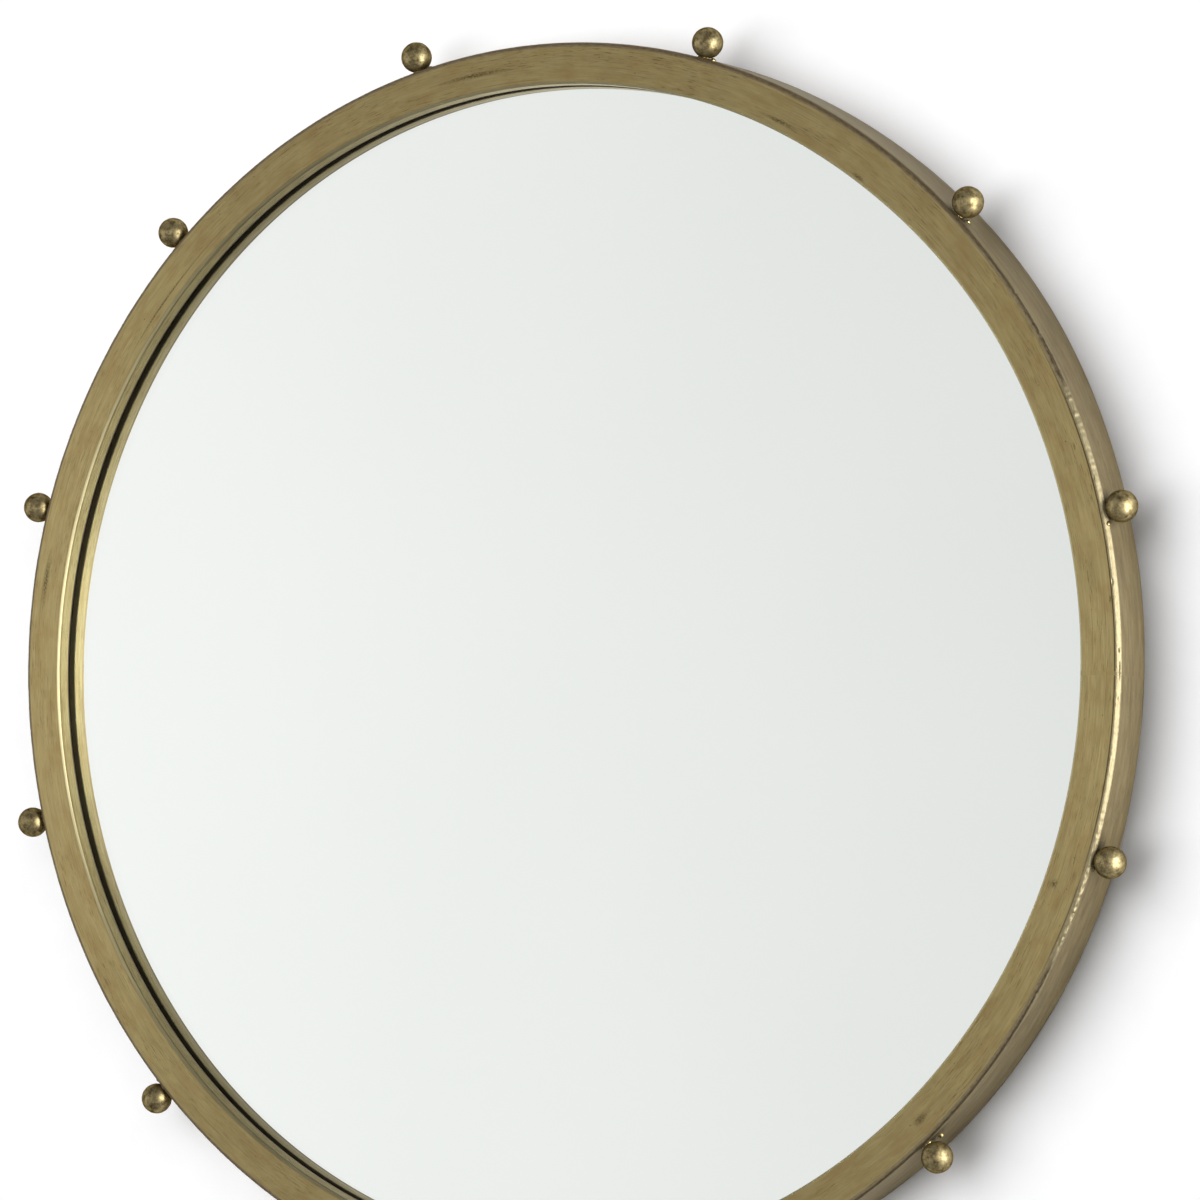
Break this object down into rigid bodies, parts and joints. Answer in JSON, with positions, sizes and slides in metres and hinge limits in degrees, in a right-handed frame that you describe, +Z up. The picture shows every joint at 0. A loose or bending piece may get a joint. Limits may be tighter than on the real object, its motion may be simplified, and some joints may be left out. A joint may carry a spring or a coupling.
{
  "type": "round wall mirror",
  "caption": "Round wall mirror in a deep flat-bar ring frame of aged brass finish, with small balls brazed at even steps round its side and swinging hanging rings on the back.",
  "frame": {"origin": "centre of the ring, on the wall plane that the frame's back rim lies against", "axes": "+Z up as it hangs, +Y into the wall along the mirror's axis, so the glass faces -Y; +X to the right as seen"},
  "size_m": [0.7752, 0.0419, 0.7734],
  "materials": {
    "aged_brass": "brushed, dark patina rubbed back to brass",
    "braze_metal": "dressed and rubbed bright",
    "silvered_glass": "silvered float glass",
    "black_tape": "matt foam tape",
    "fibreboard": "raw medium-density board",
    "zinc_steel": "zinc plated"
  },
  "bodies": {
    "mirror": {"face_ring": "aged_brass", "face_weld": "aged_brass", "side_band": "aged_brass", "band_weld": "aged_brass", "inner_lip": "aged_brass", "lip_weld": "aged_brass", "ball_01": "aged_brass", "ball_02": "aged_brass", "ball_03": "aged_brass", "ball_04": "aged_brass", "ball_05": "aged_brass", "ball_06": "aged_brass", "ball_07": "aged_brass", "ball_08": "aged_brass", "ball_09": "aged_brass", "ball_10": "aged_brass", "ball_11": "aged_brass", "ball_12": "aged_brass", "corner_seam": "braze_metal", "seam_stop": "braze_metal", "braze_beads": "braze_metal", "clip_studs": "zinc_steel", "clip_spacers": "zinc_steel", "retaining_clips": "zinc_steel", "clip_nuts": "zinc_steel", "hanger_plate_left": "zinc_steel", "hanger_plate_right": "zinc_steel", "hanger_screws": "zinc_steel", "mirror_glass": "silvered_glass", "glazing_tape": "black_tape", "backing_board": "fibreboard"},
    "left_ring": {"hanger_ring_left": "zinc_steel"},
    "right_ring": {"hanger_ring_right": "zinc_steel"}
  },
  "joints": [
    {"name": "left_ring_swing", "type": "hinge", "parent": "mirror", "child": "left_ring", "pos_m": [-0.2, -0.0081, 0.18], "axis": [1, 0, 0], "range_deg": [0, 178]},
    {"name": "right_ring_swing", "type": "hinge", "parent": "mirror", "child": "right_ring", "pos_m": [0.2, -0.0081, 0.18], "axis": [1, 0, 0], "range_deg": [0, 178]}
  ]
}
